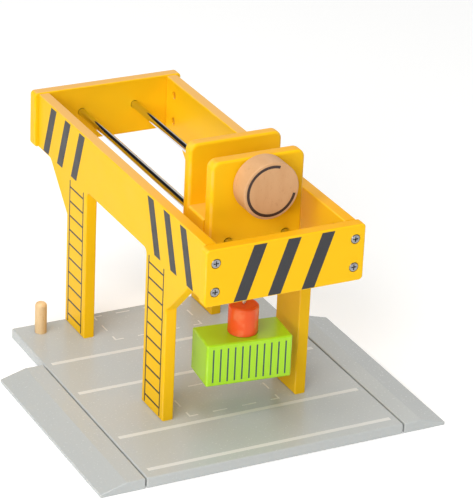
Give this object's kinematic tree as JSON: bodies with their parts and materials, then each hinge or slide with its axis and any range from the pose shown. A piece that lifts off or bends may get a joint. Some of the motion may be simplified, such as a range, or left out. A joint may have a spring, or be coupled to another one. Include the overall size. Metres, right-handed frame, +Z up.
{
  "type": "toy gantry crane",
  "caption": "Toy gantry crane on a road plate with drive-on ramps: a hand-wound trolley on steel rods lifts a block container by a magnet on a string.",
  "frame": {"origin": "on the ground under the middle of the whole toy's bounding box", "axes": "+Z up; +Y from the winding-knob end of the crane towards its far end, along the rods; +X to the right when the winding knob faces the viewer"},
  "size_m": [0.273, 0.308, 0.2161],
  "materials": {
    "yellow_paint": "smooth satin lacquer over board",
    "grey_paint": "smooth satin lacquer over board",
    "beech": "bare sanded beech",
    "rod_chrome": "polished",
    "zinc_steel": "zinc plated",
    "white_string": "twisted cotton",
    "orange_paint": "gloss lacquer over turned wood",
    "magnet_metal": "nickel plated",
    "green_paint": "gloss lacquer over wood",
    "washer_plastic": "matt"
  },
  "bodies": {
    "root": {"base_plate": "grey_paint", "corner_peg": "beech", "left_side_panel": "yellow_paint", "right_side_panel": "yellow_paint", "front_board": "yellow_paint", "rear_board": "yellow_paint", "left_rod": "rod_chrome", "right_rod": "rod_chrome", "front_screws": "zinc_steel", "rear_screws": "zinc_steel", "front_barrel_nuts": "zinc_steel", "rear_barrel_nuts": "zinc_steel", "front_leg_screws": "zinc_steel", "rear_leg_screws": "zinc_steel"},
    "left_ramp": {"left_ramp": "grey_paint", "left_ramp_dowels": "beech"},
    "right_ramp": {"right_ramp": "grey_paint", "right_ramp_dowels": "beech"},
    "trolley": {"trolley_front_plate": "yellow_paint", "trolley_rear_plate": "yellow_paint", "trolley_block": "yellow_paint", "trolley_front_dowels": "beech", "trolley_rear_dowels": "beech", "drum_string": "white_string"},
    "winder": {"winding_axle": "rod_chrome", "winding_knob": "beech", "knob_washer": "washer_plastic", "axle_collar": "beech", "wound_string": "white_string"},
    "load_line": {"hoist_string": "white_string"},
    "hoist": {"string_knots": "white_string"},
    "magnet": {"magnet_holder": "orange_paint", "magnet_disc": "magnet_metal"},
    "container": {"container_block": "green_paint", "container_disc": "zinc_steel"}
  },
  "joints": [
    {"name": "left_ramp_pull", "type": "slide", "parent": "root", "child": "left_ramp", "axis": [-1, 0, 0], "range_m": [0, 0.012]},
    {"name": "right_ramp_pull", "type": "slide", "parent": "root", "child": "right_ramp", "axis": [1, 0, 0], "range_m": [0, 0.012]},
    {"name": "trolley_slide", "type": "slide", "parent": "root", "child": "trolley", "axis": [0, 1, 0], "range_m": [-0.035, 0.206]},
    {"name": "winder_turn", "type": "hinge", "parent": "trolley", "child": "winder", "pos_m": [0, -0.085, 0.195], "axis": [0, -1, 0], "range_deg": [-420, 635]},
    {"name": "load_swing", "type": "hinge", "parent": "trolley", "child": "load_line", "pos_m": [0.0036, -0.085, 0.138], "axis": [1, 0, 0], "range_deg": [-10, 10]},
    {"name": "hoist_lift", "type": "slide", "parent": "load_line", "child": "hoist", "axis": [0, 0, 1], "range_m": [-0.0265, 0.04], "deforming": ["hoist_string"]},
    {"name": "magnet_twist", "type": "hinge", "parent": "hoist", "child": "magnet", "pos_m": [0.0036, -0.085, 0.0765], "axis": [0, 0, 1], "range_deg": [-180, 180]},
    {"name": "container_pull", "type": "slide", "parent": "magnet", "child": "container", "axis": [0, 0, -1], "range_m": [0, 0.015]}
  ],
  "couplings": [
    {"joint": "hoist_lift", "follows": "winder_turn", "m_per_rad": 0.0036}
  ]
}
